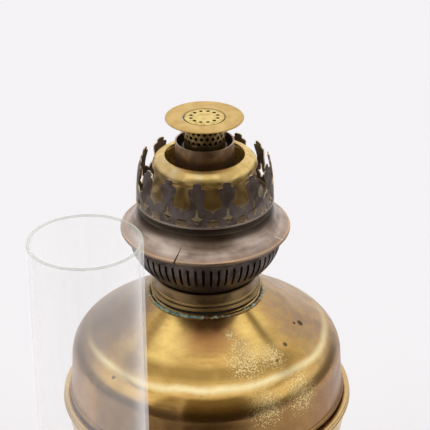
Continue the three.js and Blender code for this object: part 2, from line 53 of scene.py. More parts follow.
# ---------------------------------------------------------------- node material helpers
class Nodes:
    """Builds one node tree, a material's or the world's. An input takes a number, a colour or a socket."""

    def __init__(self, name, library=bpy.data.materials, space="Object"):
        self.block = library.new(name)
        self.block.use_nodes = True
        self.tree = self.block.node_tree
        self.tree.nodes.clear()
        self.coordinates = self.add("ShaderNodeTexCoord").outputs[space]

    def add(self, kind, inputs=None, **settings):
        node = self.tree.nodes.new(kind)
        for key, value in settings.items():
            setattr(node, key, value)
        for key, value in (inputs or {}).items():
            if isinstance(value, bpy.types.NodeSocket):
                self.tree.links.new(value, node.inputs[key])
            else:
                node.inputs[key].default_value = value
        return node

    def math(self, operation, a, b=0.0, c=0.0, clamp=False):
        node = self.add("ShaderNodeMath", {0: a, 1: b, 2: c}, operation=operation, use_clamp=clamp)
        return node.outputs[0]

    def vector(self, operation, a, b=(0, 0, 0)):
        node = self.add("ShaderNodeVectorMath", {0: a, 1: b}, operation=operation)
        return node.outputs["Value" if operation in ("LENGTH", "DISTANCE") else 0]

    def noise(self, vector, scale, detail=4.0, rough=0.55, distortion=0.0):
        inputs = {"Vector": vector, "Scale": scale, "Detail": detail, "Roughness": rough}
        inputs["Distortion"] = distortion
        return self.add("ShaderNodeTexNoise", inputs).outputs["Fac"]

    def spread(self, value, low, high, to_low=0.0, to_high=1.0):
        """Maps low..high onto to_low..to_high with soft ends."""
        inputs = {0: value, 1: low, 2: high, 3: to_low, 4: to_high}
        return self.add("ShaderNodeMapRange", inputs, interpolation_type="SMOOTHSTEP").outputs[0]

    def mix(self, factor, a, b):
        def colour(value):
            return value if isinstance(value, bpy.types.NodeSocket) else (*value, 1.0)

        inputs = {0: factor, 6: colour(a), 7: colour(b)}
        return self.add("ShaderNodeMix", inputs, data_type="RGBA", clamp_result=True).outputs[2]

    def polar(self):
        """Radius in millimetres, angle in degrees from the front towards +X, and height in millimetres."""
        x, y, z = self.add("ShaderNodeSeparateXYZ", {0: self.coordinates}).outputs
        across = self.math("MULTIPLY", x, x)
        radius = self.math("SQRT", self.math("MULTIPLY_ADD", y, y, across))
        angle = self.math("ARCTAN2", x, self.math("MULTIPLY", y, -1.0))
        return (
            self.math("MULTIPLY", radius, 1000.0),
            self.math("MULTIPLY", angle, 180 / math.pi),
            self.math("MULTIPLY", z, 1000.0),
        )

    def turned(self, along=0.0012):
        """Coordinates that hardly change round the axis, so noise on them draws turning lines."""
        radius, angle, z = self.polar()
        parts = {0: self.math("MULTIPLY", radius, MM), 1: self.math("MULTIPLY", z, MM)}
        parts[2] = self.math("MULTIPLY", angle, along / 60)
        return self.add("ShaderNodeCombineXYZ", parts).outputs[0]

    def band(self, value, low, high, soft):
        """1 between two values, falling to 0 over the soft width on either side."""
        up = self.spread(value, low - soft, low + soft)
        down = self.spread(value, high - soft, high + soft, 1.0, 0.0)
        return self.math("MULTIPLY", up, down)

    def product(self, *factors):
        result = factors[0]
        for factor in factors[1:]:
            result = self.math("MULTIPLY", result, factor)
        return result

    def over(self, colour, paint, *factors):
        """The colour with paint over it, as thick as the product of the factors."""
        return self.mix(self.product(*factors), colour, paint)

    def more(self, value, *factors):
        return self.math("ADD", value, self.product(*factors))

    def most(self, *values):
        result = values[0]
        for value in values[1:]:
            result = self.math("MAXIMUM", result, value)
        return result

    def near(self, point, reach, softness=0.5):
        """1 near a point given in millimetres, falling to 0 at the reach."""
        away = self.vector("DISTANCE", self.coordinates, tuple(p * MM for p in point))
        return self.spread(away, reach * MM * (1 - softness), reach * MM, 1.0, 0.0)

    def bump(self, height, distance, strength=1.0):
        inputs = {"Height": height, "Distance": distance * MM, "Strength": strength}
        return self.add("ShaderNodeBump", inputs).outputs[0]

    def finish(self, **inputs):
        inputs = {name.replace("_", " "): value for name, value in inputs.items()}
        shader = self.add("ShaderNodeBsdfPrincipled", inputs)
        output = self.add("ShaderNodeOutputMaterial")
        self.tree.links.new(shader.outputs[0], output.inputs[0])
        return self.block


def metal(name, base, tarnish, spots=None, rough=(0.25, 0.45), scale=60.0, **own):
    """A worked metal: a base colour under cloudy tarnish, turning lines, fine grain and small spots.
    own may set where the clouds begin and end (amount), the depth of the lines and of the grain, and
    layers(nodes, colour, roughness, height), which adds what a piece has of its own."""
    amount, lines, grain = own.get("amount", (0.4, 0.65)), own.get("lines", 0.3), own.get("grain", 0.15)
    n = Nodes(name)
    cloud = n.spread(n.noise(n.coordinates, scale, 6, 0.6, 0.4), *amount)
    colour = n.mix(cloud, base, tarnish)
    line = n.noise(n.turned(), 2600, 3, 0.7)
    colour = n.over(colour, tarnish, line, lines * 0.5)
    if spots:
        spot = n.spread(n.noise(n.coordinates, 900, 2, 0.5), 0.66, 0.74)
        colour = n.over(colour, spots, spot, 0.75)
    fine = n.noise(n.coordinates, 2400, 3, 0.6)
    wear = n.more(n.product(cloud, 0.6), fine, 0.4)
    roughness = n.spread(wear, 0.15, 0.85, *rough)
    height = n.more(n.product(line, lines), fine, grain)
    if "layers" in own:
        colour, roughness, height = own["layers"](n, colour, roughness, height)
    normal = n.bump(height, 0.05, 0.5)
    return n.finish(Base_Color=colour, Metallic=1.0, Roughness=roughness, Normal=normal)


# ---------------------------------------------------------------- mesh helpers
def placed(name, data):
    """A new object in the scene."""
    obj = bpy.data.objects.new(name, data)
    bpy.context.scene.collection.objects.link(obj)
    return obj


def closed(mesh):
    """Welds the mesh's coinciding points and turns its faces outwards."""
    shape = bmesh.new()
    shape.from_mesh(mesh)
    bmesh.ops.remove_doubles(shape, verts=shape.verts, dist=WELD)
    bmesh.ops.recalc_face_normals(shape, faces=shape.faces)
    shape.to_mesh(mesh)
    shape.free()


def piece(name, verts, faces, body, materials, replaces=(), indices=None):
    """Makes one closed, outward-facing mesh object that rides on a body."""
    mesh = bpy.data.meshes.new(name)
    mesh.from_pydata((np.asarray(verts) * MM).tolist(), [], faces)
    for material in materials:
        mesh.materials.append(material)
    if indices is not None:
        mesh.polygons.foreach_set("material_index", [i if i < len(materials) else 0 for i in indices])
    closed(mesh)
    mesh.polygons.foreach_set("use_smooth", [True] * len(mesh.polygons))
    mesh.set_sharp_from_angle(angle=SHARP_ANGLE)
    obj = placed(name, mesh)
    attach(obj, body)
    if replaces:
        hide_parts(*replaces)
    return obj


def fillet(points):
    """Rounds the corners of a closed profile. A corner is (r, z) or (r, z, rounding radius)."""
    out = []
    count = len(points)
    for i, point in enumerate(points):
        corner = Vector(point[:2])
        size = point[2] if len(point) > 2 else 0
        if not size:
            out.append(tuple(corner))
            continue
        before = Vector(points[i - 1][:2]) - corner
        after = Vector(points[(i + 1) % count][:2]) - corner
        size = min(size, before.length * 0.49, after.length * 0.49)
        start = corner + before.normalized() * size
        end = corner + after.normalized() * size
        for k in range(FILLET_STEPS + 1):
            t = k / FILLET_STEPS
            out.append(tuple((1 - t) ** 2 * start + 2 * t * (1 - t) * corner + t * t * end))
    return out


def smooth(points, steps):
    """A Catmull-Rom curve through the points, with that many steps between two of them."""
    p = [Vector(q) for q in points]
    p = [2 * p[0] - p[1], *p, 2 * p[-1] - p[-2]]
    out = []
    for before, a, b, after in zip(p, p[1:], p[2:], p[3:]):
        for k in range(steps):
            t = k / steps
            square = (2 * before - 5 * a + 4 * b - after) * t * t
            cube = (3 * a - before - 3 * b + after) * t**3
            out.append(0.5 * (2 * a + (b - before) * t + square + cube))
    return [tuple(v) for v in [*out, p[-2]]]


def arc(r, z, radius, start, end, steps=8):
    angles = np.radians(np.linspace(start, end, steps + 1))
    return [(r + radius * math.cos(a), z + radius * math.sin(a)) for a in angles]


def offset(outside, thickness):
    """The profile's inner side, listed back, so that outside + offset is a closed sheet."""
    p = np.array(outside, float)
    d = np.gradient(p, axis=0)
    d /= np.linalg.norm(d, axis=1)[:, None]
    inside = p + thickness * np.stack([-d[:, 1], d[:, 0]], axis=1)
    return [tuple(q) for q in inside[::-1]]


def sheet(outside, thickness):
    return [*outside, *offset(outside, thickness)]


def lathe_mesh(profile, segments=SEGMENTS, centre=(0, 0)):
    """Vertices and faces of a closed profile turned round a vertical axis."""
    verts, rings = [], []
    for r, z in profile:
        start = len(verts)
        if r < 1e-6:
            verts.append((centre[0], centre[1], z))
            rings.append([start] * segments)
            continue
        for k in range(segments):
            a = TURN * k / segments
            verts.append((centre[0] + r * math.sin(a), centre[1] - r * math.cos(a), z))
        rings.append([start + k for k in range(segments)])
    faces = []
    for a, b in zip(rings, [*rings[1:], rings[0]]):
        for k in range(segments):
            j = (k + 1) % segments
            face = list(dict.fromkeys([a[k], a[j], b[j], b[k]]))
            if len(face) > 2:
                faces.append(face)
    return verts, faces


def lathe(name, profile, body, material, replaces=(), segments=SEGMENTS):
    verts, faces = lathe_mesh(profile, segments)
    return piece(name, verts, faces, body, [material], replaces)


def inside_loop(points, loop):
    """Which of the points lie inside a closed loop."""
    x, y = np.asarray(points, float).T
    a = np.asarray(loop, float)
    b = np.roll(a, -1, axis=0)
    hit = np.zeros(len(x), bool)
    for (x0, y0), (x1, y1) in zip(a, b):
        if y0 == y1:
            continue
        crosses = (y0 > y) != (y1 > y)
        hit ^= crosses & (x < (x1 - x0) * (y - y0) / (y1 - y0) + x0)
    return hit


def resample(loop, step):
    """The loop with no edge longer than the step."""
    out = []
    for a, b in zip(loop, [*loop[1:], loop[0]]):
        parts = max(1, math.ceil(math.dist(a, b) / step - 1e-9))
        for k in range(parts):
            t = k / parts
            out.append((a[0] + (b[0] - a[0]) * t, a[1] + (b[1] - a[1]) * t))
    return out


def flat_mesh(outline, holes, step):
    """Points and triangles over an outline with holes, with inner points so that it can bend."""
    loops = [resample(outline, step), *(resample(h, step) for h in holes)]
    points, edges = [], []
    for loop in loops:
        start = len(points)
        points += loop
        edges += [(start + i, start + (i + 1) % len(loop)) for i in range(len(loop))]
    border = np.array(points)
    low, high = border.min(0), border.max(0)
    grid = [
        (x + (step / 2 if j % 2 else 0), y)
        for j, y in enumerate(np.arange(low[1] + step / 2, high[1], step * 0.87))
        for x in np.arange(low[0] + step / 2, high[0], step)
    ]
    if grid:
        grid = np.array(grid)
        keep = inside_loop(grid, loops[0])
        for hole in loops[1:]:
            keep &= ~inside_loop(grid, hole)
        gap = np.linalg.norm(grid[:, None] - border[None], axis=2).min(1)
        points += [tuple(p) for p in grid[keep & (gap > step * 0.45)]]
    result = delaunay_2d_cdt([Vector(p) for p in points], edges, [], 0, 1e-6)
    verts = np.array([tuple(v) for v in result[0]])
    faces = [f for f in result[2] if len(f) == 3]
    centres = np.array([verts[f].mean(0) for f in map(list, faces)])
    keep = inside_loop(centres, loops[0])
    for hole in loops[1:]:
        keep &= ~inside_loop(centres, hole)
    return verts, [list(f) for f, k in zip(faces, keep) if k]


def stamped(verts, faces, place, thickness):
    """A sheet with thickness from a flat mesh. place(points, inset) puts its points in space.
    Returns vertices, faces, and a face mark: 0 outside, 1 on the cut edges, 2 inside."""
    count = len(verts)
    space = np.vstack([place(verts, 0.0), place(verts, thickness)])
    used = {}
    for a, b, c in faces:
        for edge in ((a, b), (b, c), (c, a)):
            key = tuple(sorted(edge))
            used[key] = edge if key not in used else None
    walls = [(e[0], e[1], e[1] + count, e[0] + count) for e in used.values() if e]
    inner = [(c + count, b + count, a + count) for a, b, c in faces]
    everything = [*map(tuple, faces), *inner, *walls]
    marks = [0] * len(faces) + [2] * len(faces) + [1] * len(walls)
    return space, everything, marks


def merged(verts, faces):
    """The flat mesh with coinciding points made one."""
    key = np.round(verts, 4)
    _, first, back = np.unique(key, axis=0, return_index=True, return_inverse=True)
    back = back.ravel()
    tidy = [[int(back[i]) for i in f] for f in faces]
    return verts[first], [f for f in tidy if len(set(f)) == 3]


def repeated(unit, count, width):
    """Units side by side, with the last one's far edge made the first one's near edge."""
    verts, faces = unit
    all_verts = np.vstack([verts + (i * width, 0) for i in range(count)])
    all_faces = [[v + i * len(verts) for v in f] for i in range(count) for f in faces]
    x = all_verts[:, 0]
    all_verts[:, 0] = np.where(np.abs(x - count * width) < 1e-4, 0.0, x)
    return merged(all_verts, all_faces)


def circle(x, y, radius, points):
    angles = TURN * np.arange(points) / points
    return [(x + radius * math.cos(a), y + radius * math.sin(a)) for a in angles]


def mirrored(half):
    """A closed outline from its right half, listed upwards."""
    return [*half, *[(-x, z) for x, z in reversed(half) if x > 1e-6]]


def along(profile):
    """place(points, inset, angle) for a sheet that follows a profile: a point's y is its distance
    along the profile, which is listed upwards on the outside."""
    p = np.array(profile, float)
    s = np.concatenate([[0], np.cumsum(np.linalg.norm(np.diff(p, axis=0), axis=1))])
    d = np.gradient(p, axis=0)
    d /= np.linalg.norm(d, axis=1)[:, None]

    def place(points, inset, angle):
        r = np.interp(points[:, 1], s, p[:, 0]) - inset * np.interp(points[:, 1], s, d[:, 1])
        z = np.interp(points[:, 1], s, p[:, 1]) + inset * np.interp(points[:, 1], s, d[:, 0])
        return np.stack([r * np.sin(angle), -r * np.cos(angle), z], axis=1)

    return place, s[-1]


def rolled(name, flat, total, profile, thickness, body, materials, replaces=(), turn=0.0):
    """A flat strip of the total width rolled into a ring along a profile. Its x runs to the right seen
    from outside, and x = 0 is at the front, turned by that many degrees."""
    put, _ = along(profile)

    def place(points, inset):
        return put(points, inset, math.radians(turn) + points[:, 0] / total * TURN)

    space, all_faces, marks = stamped(*flat, place, thickness)
    return piece(name, space, all_faces, body, materials, replaces, marks)


def window(left, right, low, high):
    return [(left, low), (right, low), (right, high), (left, high)]


def pierced_strip(count, width, rows, step):
    """A strip of stacked rows, each (height, hole radius or 0). Holes of odd rows are half a pitch on."""
    total = count * width
    verts, faces = [], []
    base, start = 0.0, 0
    for i, (height, hole) in enumerate(rows):
        quarter = [width * k / 4 for k in range(5)]
        outline = [*((x, 0.0) for x in quarter), *((x, height) for x in reversed(quarter))]
        holes = [circle(width / 2, height / 2, hole, 14)] if hole else []
        v, f = repeated(flat_mesh(outline, holes, step), count, width)
        x = v[:, 0] + (width / 2 if i % 2 else 0)
        x = np.where(x > total - 1e-4, x - total, x)
        verts.append(np.stack([x, v[:, 1] + base], axis=1))
        faces += [[j + start for j in face] for face in f]
        start += len(v)
        base += height
    return merged(np.vstack(verts), faces)


# ---------------------------------------------------------------- driving dimensions
HOLDER_WALL_R = 75.6
TANK_R, TANK_FLOOR_Z, TANK_TOP_Z = 71, 61, 127
FONT_WALL_R, FONT_SHOULDER_R = 72.1, 16.5
FONT_FOOT_Z = 117.6  # top of the bead round the font's foot
CONE_DROP = 0.652  # fall of the font's cone per millimetre outwards
CONE_TOP_R, CONE_TOP_Z = 31, 171.6
NECK_RING_R, NECK_RING_Z = 28, 172
COLLAR_Z = 175
BASKET_TOP_Z = 212.6
RIM_R, RIM_Z = 42.9, 211.05  # centre of the bead round the flange
SEAT_Z = 227
CROWN_LOW = 227.3
DOME_WAIST_Z = 244.4
SCREEN_R = 22.4
TUBE_R, TUBE_FOOT_Z, TUBE_TOP_Z = 15.1, 176, 259.4
DISC_R, DISC_Z = 20, 272.2
CAP_R, THIMBLE_R = 10.1, 10.35
GLASS_CENTRE = (-53.2, -108.0)
GLASS_R, GLASS_THICKNESS, GLASS_TOP_Z = 26.3, 1.6, 260.0

# ---------------------------------------------------------------- colours, linear
BRASS = (0.83, 0.53, 0.16)
BRIGHT_BRASS = (1.0, 0.72, 0.24)
PALE_BRASS = (1.0, 0.84, 0.46)
ETCHED_BRASS = (1.0, 0.78, 0.37)
ETCHED_HAZE = (0.62, 0.40, 0.16)
COPPER_TARNISH = (0.40, 0.21, 0.085)
ORANGE_TARNISH = (0.56, 0.29, 0.08)
RED_STAIN_AND_REFLECTION = (0.39, 0.165, 0.062)
OLIVE_REFLECTION = (0.38, 0.225, 0.06)
PINK_TARNISH = (0.32, 0.215, 0.145)
DARK_BROWN = (0.24, 0.135, 0.075)
BLACK_SPOT = (0.09, 0.06, 0.045)
UNDER_CROWN_SHADE = (0.055, 0.04, 0.028)
GREEN_CRUST = (0.22, 0.34, 0.27)
PALE_CRUST = (0.74, 0.82, 0.70)
WHITE_GLOW = (1.0, 0.985, 1.0)

# ---------------------------------------------------------------- materials
# Places on the font: centre and reach.
ETCHED = [
    ((12.3, -36.6, 166.4), 6),
    ((18, -41, 163), 9),
    ((20.4, -47.9, 157.9), 18),
    ((34, -42, 157), 13),
    ((48, -50, 141), 18),
    ((30, -63, 140), 17),
]
# Places of painted highlights on the cone, either side of the front.
HIGHLIGHT_PLACES = [((-17, -36, 166), 17), ((-25, -47, 157), 14), ((22, -29, 168), 15), ((30, -40, 160), 13)]
DARK_SPOTS = [
    ((40.8, -32.2, 157.9), 1.6),
    ((49.5, -12.1, 158.6), 2.2),
    ((46.2, -14.8, 160.2), 1.1),
    ((36.5, -43.5, 155.6), 1.3),
    ((-47, -47, 147.6), 1.4),
    ((30, 30, 162), 1.8),
    ((-40, 25, 160), 1.5),
]


def font_layers(n, colour, roughness, height):
    """Stains on the cone and wall, etched patches and dark spots, and painted light: highlights on the cone
    and the shoulder, dark reflections on the cone and the wall's front, and shade at the left.
    """
    radius, angle, z = n.polar()
    away = n.math("ABSOLUTE", angle)
    wide = n.noise(n.coordinates, 24, 4, 0.55)
    fine = n.noise(n.coordinates, 150, 5, 0.65)
    cloudy = n.math("ADD", wide, fine)

    def places(spots, softness):
        return n.most(*(n.near(place, reach, softness) for place, reach in spots))

    # The cone: brown sides, streaks that run round it, and painted highlights on two areas in front.
    sides = n.spread(n.math("MULTIPLY_ADD", cloudy, 14.0, away), 58, 84)
    brown = n.product(sides, 0.9, n.spread(cloudy, 0.7, 1.2, 0.65, 1.0))
    colour = n.over(colour, PINK_TARNISH, brown)
    wiped = n.noise(n.turned(0.012), 520, 4, 0.65, 0.3)
    colour = n.over(colour, ORANGE_TARNISH, n.spread(wiped, 0.45, 0.7, 0.0, 0.6))
    painted_highlight = places(HIGHLIGHT_PLACES, 0.7)
    colour = n.over(colour, BRIGHT_BRASS, painted_highlight, n.spread(cloudy, 0.7, 1.2, 0.35, 0.85))
    # A painted dark reflection: a dark line down the right of the cone.
    streak = n.product(n.band(angle, 41, 46, 3), n.spread(radius, 64, 50))
    colour = n.over(colour, (0.30, 0.18, 0.06), streak, n.spread(wide, 0.3, 0.6, 0.4, 0.7))

    # Painted reflections: a dark olive band at the foot of the cone, and a painted highlight on the shoulder
    # next to it.
    edge = n.math("ADD", radius, n.spread(wide, 0.2, 0.8, -1.2, 1.2))
    olive = n.product(n.band(edge, 53.0, 60.4, 2.6), n.spread(away, 40, 80, 1.0, 0.0))
    colour = n.over(colour, OLIVE_REFLECTION, olive, n.spread(cloudy, 0.6, 1.2, 0.65, 1.0))
    lightened = n.product(n.band(edge, 62.3, 64.9, 1.5), n.spread(away, 50, 110, 1.0, 0.25))
    colour = n.over(colour, PALE_BRASS, lightened, n.spread(cloudy, 0.7, 1.2, 0.7, 1.0))
    # Painted shade: the font's left side, behind the chimney, is painted darker.
    left = n.near((-46, 4, 156), 50, 0.8)
    colour = n.over(colour, (0.165, 0.11, 0.072), left, n.spread(wide, 0.3, 0.7, 0.65, 1.0))
    # A red patch under the collar: partly tarnish, partly a painted reflection of the burner.
    colour = n.over(colour, RED_STAIN_AND_REFLECTION, n.near((1, -36, 167), 20, 0.8), 0.85)

    # The wall is coppery, and darker low at the right.
    low = n.spread(n.more(z, cloudy, 7.0), 145, 152, 1.0, 0.0)
    colour = n.over(colour, COPPER_TARNISH, low, n.spread(fine, 0.35, 0.65, 0.6, 0.95))
    colour = n.over(colour, DARK_BROWN, n.spread(z, 140, 134), n.spread(angle, 30, 60), 0.5)
    # Painted reflection of the dark space in front: the wall's front is painted darker, most at the front
    # left.
    front_reflection = n.spread(away, 30, 62, 1.0, 0.0)
    colour = n.over(colour, (0.22, 0.125, 0.045), n.spread(z, 143, 139, 0.0, 0.6), front_reflection)
    front_reflection = n.product(n.spread(z, 144, 138), n.band(angle, -52, -9, 3))
    colour = n.over(colour, (0.17, 0.095, 0.035), front_reflection, n.spread(fine, 0.3, 0.7, 0.5, 0.8))

    etched = places(ETCHED, 0.95)
    crumbs = n.noise(n.coordinates, 1150, 3, 0.65, 0.4)
    speckle = n.spread(n.more(crumbs, etched, 0.22), 0.66, 0.73)
    colour = n.over(colour, ETCHED_HAZE, etched, n.spread(fine, 0.3, 0.7, 0.2, 0.8), 0.4)
    colour = n.over(colour, ETCHED_BRASS, speckle, n.spread(etched, 0.0, 0.35), 0.85)
    pits = n.spread(n.noise(n.coordinates, 1500, 2, 0.5), 0.56, 0.66)
    colour = n.over(colour, (0.34, 0.20, 0.09), etched, pits, 0.65)
    spots = places(DARK_SPOTS, 0.4)
    colour = n.over(colour, BLACK_SPOT, spots, 0.8)
    roughness = n.more(n.more(roughness, n.most(etched, brown), 0.16), spots, 0.3)
    return colour, roughness, n.more(height, speckle, etched, 0.7)


def collar_layers(n, colour, roughness, height):
    """A green crust in the angle between the neck's ring and the font, thickest at the left."""
    radius, angle, z = n.polar()
    crust = n.noise(n.coordinates, 420, 5, 0.65)
    left = n.band(angle, -62, -4, 12)
    right = n.product(n.band(angle, 30, 95, 12), 0.4)
    back = n.product(n.spread(n.math("ABSOLUTE", angle), 110, 150), 0.7)
    where = n.most(left, right, back, 0.25)
    ring = n.spread(radius, NECK_RING_R - 0.4, NECK_RING_R + 0.3)
    ring = n.product(ring, n.spread(z, NECK_RING_Z, NECK_RING_Z + 0.6))
    green = n.product(ring, n.spread(n.more(crust, where, 0.4), 0.62, 0.75))
    colour = n.over(colour, n.mix(n.spread(crust, 0.35, 0.65), GREEN_CRUST, PALE_CRUST), green)
    return colour, n.more(roughness, green, 0.5), n.more(height, green, crust, 3.0)


def burner_collar_layers(n, colour, roughness, height):
    """Brighter lips, and a dark foot where the gasket lies: painted shade in the gap under the collar."""
    z = n.polar()[2]
    lips = n.most(n.band(z, COLLAR_Z, 176.9, 0.4), n.band(z, 177.9, 178.9, 0.3))
    colour = n.over(colour, (0.50, 0.34, 0.13), lips, 0.7)
    # Painted shade in the gap between the collar and the neck.
    foot = n.spread(z, COLLAR_Z - 0.1, COLLAR_Z + 0.4, 1.0, 0.0)
    colour = n.over(colour, (0.03, 0.025, 0.02), foot)
    return colour, roughness, height


def flange_layers(n, colour, roughness, height):
    """Wiped streaks that run round the skirt, a scratch, a painted copper highlight on the rim with painted
    shade under it, and painted shade under the crown.
    """
    radius, angle, z = n.polar()
    streaks = n.noise(n.turned(0.006), 420, 4, 0.6, 0.3)
    patches = n.noise(n.coordinates, 75, 4, 0.6, 0.5)
    streaks = n.product(n.math("ADD", streaks, patches), 0.5)
    colour = n.over(colour, (0.62, 0.495, 0.42), n.spread(streaks, 0.44, 0.62, 0.0, 0.75))
    colour = n.over(colour, (0.22, 0.165, 0.135), n.spread(streaks, 0.36, 0.47, 0.65, 0.0))
    lightened = n.product(n.band(angle, -34, -23, 4), n.band(radius, 37.5, 42.5, 1.5))
    colour = n.over(colour, (0.80, 0.70, 0.62), lightened, n.spread(patches, 0.3, 0.6, 0.4, 1.0), 0.6)
    low = n.spread(z, RIM_Z + 3.55, RIM_Z + 1.35)
    colour = n.over(colour, (0.40, 0.275, 0.205), low, n.spread(patches, 0.3, 0.6, 0.45, 0.75))
    slant = n.more(angle, radius, -0.9)
    scratch = n.product(n.band(slant, 25.2, 25.8, 0.3), n.spread(radius, 39.8, 40.6))
    colour = n.over(colour, (0.95, 0.86, 0.70), scratch, 0.8)
    # A painted highlight: a copper line along the rim's crest.
    crest = n.band(radius, RIM_R + 0.1, RIM_R + 0.85, 0.25)
    crest = n.product(crest, n.spread(z, RIM_Z + 0.15, RIM_Z + 0.55))
    colour = n.over(colour, (0.70, 0.46, 0.25), crest, n.spread(patches, 0.35, 0.6, 0.3, 0.9))
    # Painted shade on the rim's lower half.
    colour = n.over(colour, (0.13, 0.09, 0.06), n.spread(z, RIM_Z + 0.25, RIM_Z - 0.35, 0.0, 0.8))
    # Painted shade under the crown: the skirt darkens towards the crown and is darkest in the recess under
    # the bead, whose top is lighter again.
    colour = n.over(colour, (0.12, 0.085, 0.06), n.spread(z, SEAT_Z - 8.4, SEAT_Z - 5.6), 0.9)
    colour = n.over(colour, UNDER_CROWN_SHADE, n.spread(z, SEAT_Z - 5.6, SEAT_Z - 4.4), 0.8)
    colour = n.over(colour, (0.46, 0.37, 0.30), n.spread(z, SEAT_Z - 0.9, SEAT_Z - 0.2), 0.75)
    return colour, roughness, height


def tube_layers(n, colour, roughness, height):
    """Heat colours: pale brown at the rim, dark below it."""
    cloud = n.noise(n.coordinates, 70, 4, 0.6)
    edge = n.more(n.polar()[2], cloud, 4.0)
    heat = n.spread(edge, TUBE_TOP_Z - 0.9, TUBE_TOP_Z + 2.1, 0.0, 0.6)
    return n.over(colour, (0.40, 0.27, 0.19), heat), roughness, height


def dome_layers(n, colour, roughness, height):
    """The lip is rubbed bright, the wall below it is stained brown, and the foot is matt, with painted light
    making it pale.
    """
    z = n.polar()[2]
    stain = n.noise(n.coordinates, 90, 5, 0.6, 0.8)
    wall = n.spread(z, DOME_WAIST_Z + 1.0, DOME_WAIST_Z - 0.8)
    colour = n.over(colour, (0.64, 0.43, 0.17), wall, n.spread(stain, 0.35, 0.65, 0.35, 0.9))
    lip = n.spread(z, DOME_WAIST_Z + 1.6, DOME_WAIST_Z + 4.1)
    colour = n.over(colour, (0.95, 0.78, 0.50), lip, n.spread(stain, 0.5, 0.7, 0.0, 0.6))
    colour = n.over(colour, (0.50, 0.36, 0.20), n.near((-22, -12, 250), 17, 0.8), 0.55)
    # Painted light: the foot, seen through the crown's arches, is painted pale.
    foot = n.spread(z, CROWN_LOW + 6.7, CROWN_LOW + 3.7, 0.0, 0.9)
    colour = n.over(colour, (1.0, 0.92, 0.70), foot)
    return colour, n.more(roughness, foot, 0.35), height


def disc_layers(n, colour, roughness, height):
    """A groove round the cap, darker all round, with grime in it that is thickest at the left, and a browner
    rim.
    """
    radius = n.polar()[0]
    groove = n.spread(radius, 10.8, 11.3, 1.0, 0.0)
    grime = n.noise(n.coordinates, 500, 4, 0.6)
    left = n.near((-10.5, -2.5, DISC_Z), 6, 0.8)
    level = n.product(n.math("ADD", grime, left), 0.62)
    colour = n.over(colour, (0.42, 0.30, 0.15), groove, 0.6)
    colour = n.over(colour, (0.13, 0.11, 0.09), groove, n.spread(level, 0.4, 0.8))
    colour = n.over(colour, (0.58, 0.38, 0.13), n.spread(radius, DISC_R - 1.7, DISC_R, 0.0, 0.5))
    halo = n.product(left, n.spread(grime, 0.45, 0.6), n.spread(radius, 13.0, 11.0, 0.0, 0.8))
    return n.over(colour, (0.42, 0.42, 0.42), halo), roughness, height


font_metal = metal(
    "font brass", BRASS, (0.62, 0.39, 0.12), (0.25, 0.14, 0.06), (0.16, 0.27), 38,
    amount=(0.3, 0.75), lines=0.25, layers=font_layers,
)
holder_metal = metal(
    "holder brass", (0.78, 0.55, 0.24), (0.54, 0.36, 0.16), (0.18, 0.11, 0.05), (0.22, 0.34), 55,
    amount=(0.2, 0.85), lines=0.5,
)
tank_metal = metal(
    "tank brass", (0.58, 0.39, 0.16), (0.38, 0.24, 0.10), (0.14, 0.09, 0.05), (0.28, 0.42), 45,
    amount=(0.25, 0.8), lines=0.5,
)
dull_brass = metal("dull brass", (0.36, 0.25, 0.12), (0.20, 0.14, 0.08), None, (0.3, 0.5))
neck_brass = metal("neck brass", (0.42, 0.29, 0.12), (0.20, 0.13, 0.06), layers=collar_layers)
collar_brass = metal(
    "collar brass", (0.24, 0.16, 0.075), (0.14, 0.09, 0.045), None, (0.3, 0.42), 80,
    layers=burner_collar_layers,
)
dark_bronze = metal("dark bronze", (0.145, 0.115, 0.10), (0.075, 0.055, 0.045), None, (0.4, 0.6), 90)
tube_bronze = metal(
    "tube bronze", (0.52, 0.36, 0.245), (0.30, 0.195, 0.13), None, (0.32, 0.45), 80, layers=tube_layers
)
tube_rim = metal("tube rim", (0.62, 0.47, 0.38), (0.42, 0.31, 0.24), None, (0.3, 0.45))
flange_bronze = metal(
    "brown bronze", (0.49, 0.385, 0.325), (0.385, 0.29, 0.235), None, (0.3, 0.46), 70,
    lines=0.7, layers=flange_layers,
)
crown_bronze = metal(
    "crown bronze", (0.235, 0.19, 0.175), (0.115, 0.085, 0.07), None, (0.45, 0.6), 110, grain=0.5
)
# Cut edges of the crown: partly wear, partly a painted highlight along them.
worn_highlit_edge = metal("worn edge", (0.80, 0.66, 0.45), (0.58, 0.45, 0.29), None, (0.3, 0.5))
dome_metal = metal(
    "dome brass", (0.93, 0.69, 0.275), (0.74, 0.52, 0.19), None, (0.36, 0.5), 120,
    lines=0.8, layers=dome_layers,
)
screen_metal = metal("screen brass", (1.0, 0.90, 0.36), (1.0, 0.74, 0.20), None, (0.45, 0.6))
# The screen's inside is a darker copy of its brass: painted shade.
screen_inside = metal("screen inside", (1.0, 0.76, 0.28), (0.78, 0.56, 0.17), None, (0.45, 0.6))
knob_metal = metal("knob brass", (0.62, 0.43, 0.17), (0.34, 0.22, 0.09), None, (0.3, 0.45), 150, lines=0.2)
disc_metal = metal(
    "disc brass", (0.78, 0.545, 0.205), (0.71, 0.485, 0.18), None, (0.45, 0.6), 90,
    lines=0.6, layers=disc_layers,
)
cap_metal = metal("cap brass", (0.88, 0.67, 0.25), (0.70, 0.50, 0.17), None, (0.35, 0.5), 250, grain=0.5)
thimble_metal = metal("thimble brass", (0.50, 0.37, 0.16), (0.26, 0.18, 0.08), None, (0.35, 0.5), 300)
sooty_inside = metal("soot", (0.05, 0.035, 0.022), (0.03, 0.02, 0.013), None, (0.5, 0.7), 200)
steel = metal("steel", (0.45, 0.45, 0.46), (0.25, 0.24, 0.23), None, (0.3, 0.5))
